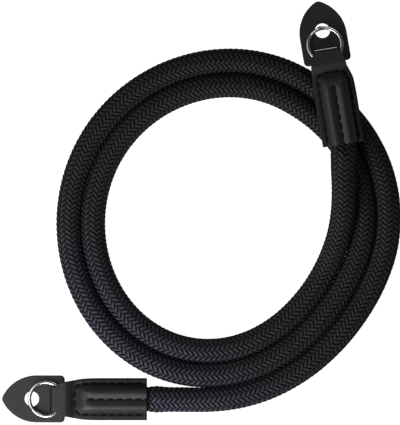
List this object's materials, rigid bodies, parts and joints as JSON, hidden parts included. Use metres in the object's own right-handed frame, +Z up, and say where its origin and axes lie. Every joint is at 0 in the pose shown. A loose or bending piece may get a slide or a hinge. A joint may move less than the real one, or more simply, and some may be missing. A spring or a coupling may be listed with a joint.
{
  "type": "coiled camera strap",
  "caption": "Camera strap of braided rope, coiled flat, with a sewn leather end, a pointed leather guard and a split ring at each end.",
  "frame": {"origin": "on the surface that the strap lies on, under the middle of the box round its two leather ends", "axes": "+Z up from the surface; seen from above, +X to the picture's right and +Y to its top"},
  "size_m": [0.1705, 0.1802, 0.0211],
  "materials": {
    "braided_rope": "round braid of fine black yarn with a navy cast, slight sheen",
    "tab_leather": "smooth charcoal leather with a fine grain, black stitching",
    "guard_leather": "smooth charcoal leather with a fine grain, cut edges",
    "ring_steel": "polished nickel-plated spring wire"
  },
  "bodies": {
    "strap": {"rope": "braided_rope", "end_tab_lower_left": "tab_leather", "end_tab_upper_right": "tab_leather", "guard_lower_left": "guard_leather", "guard_upper_right": "guard_leather"},
    "ring_lower_left": {"split_ring_lower_left": "ring_steel"},
    "ring_upper_right": {"split_ring_upper_right": "ring_steel"}
  },
  "joints": [
    {"name": "ring_turn_lower_left", "type": "hinge", "parent": "strap", "child": "ring_lower_left", "pos_m": [-0.05833, -0.0801, 0.00495], "axis": [-0.0958, 0, 0.9954], "continuous": true},
    {"name": "ring_turn_upper_right", "type": "hinge", "parent": "strap", "child": "ring_upper_right", "pos_m": [0.06072, 0.07126, 0.01461], "axis": [-0.0232, 0.1372, 0.9903], "continuous": true}
  ]
}
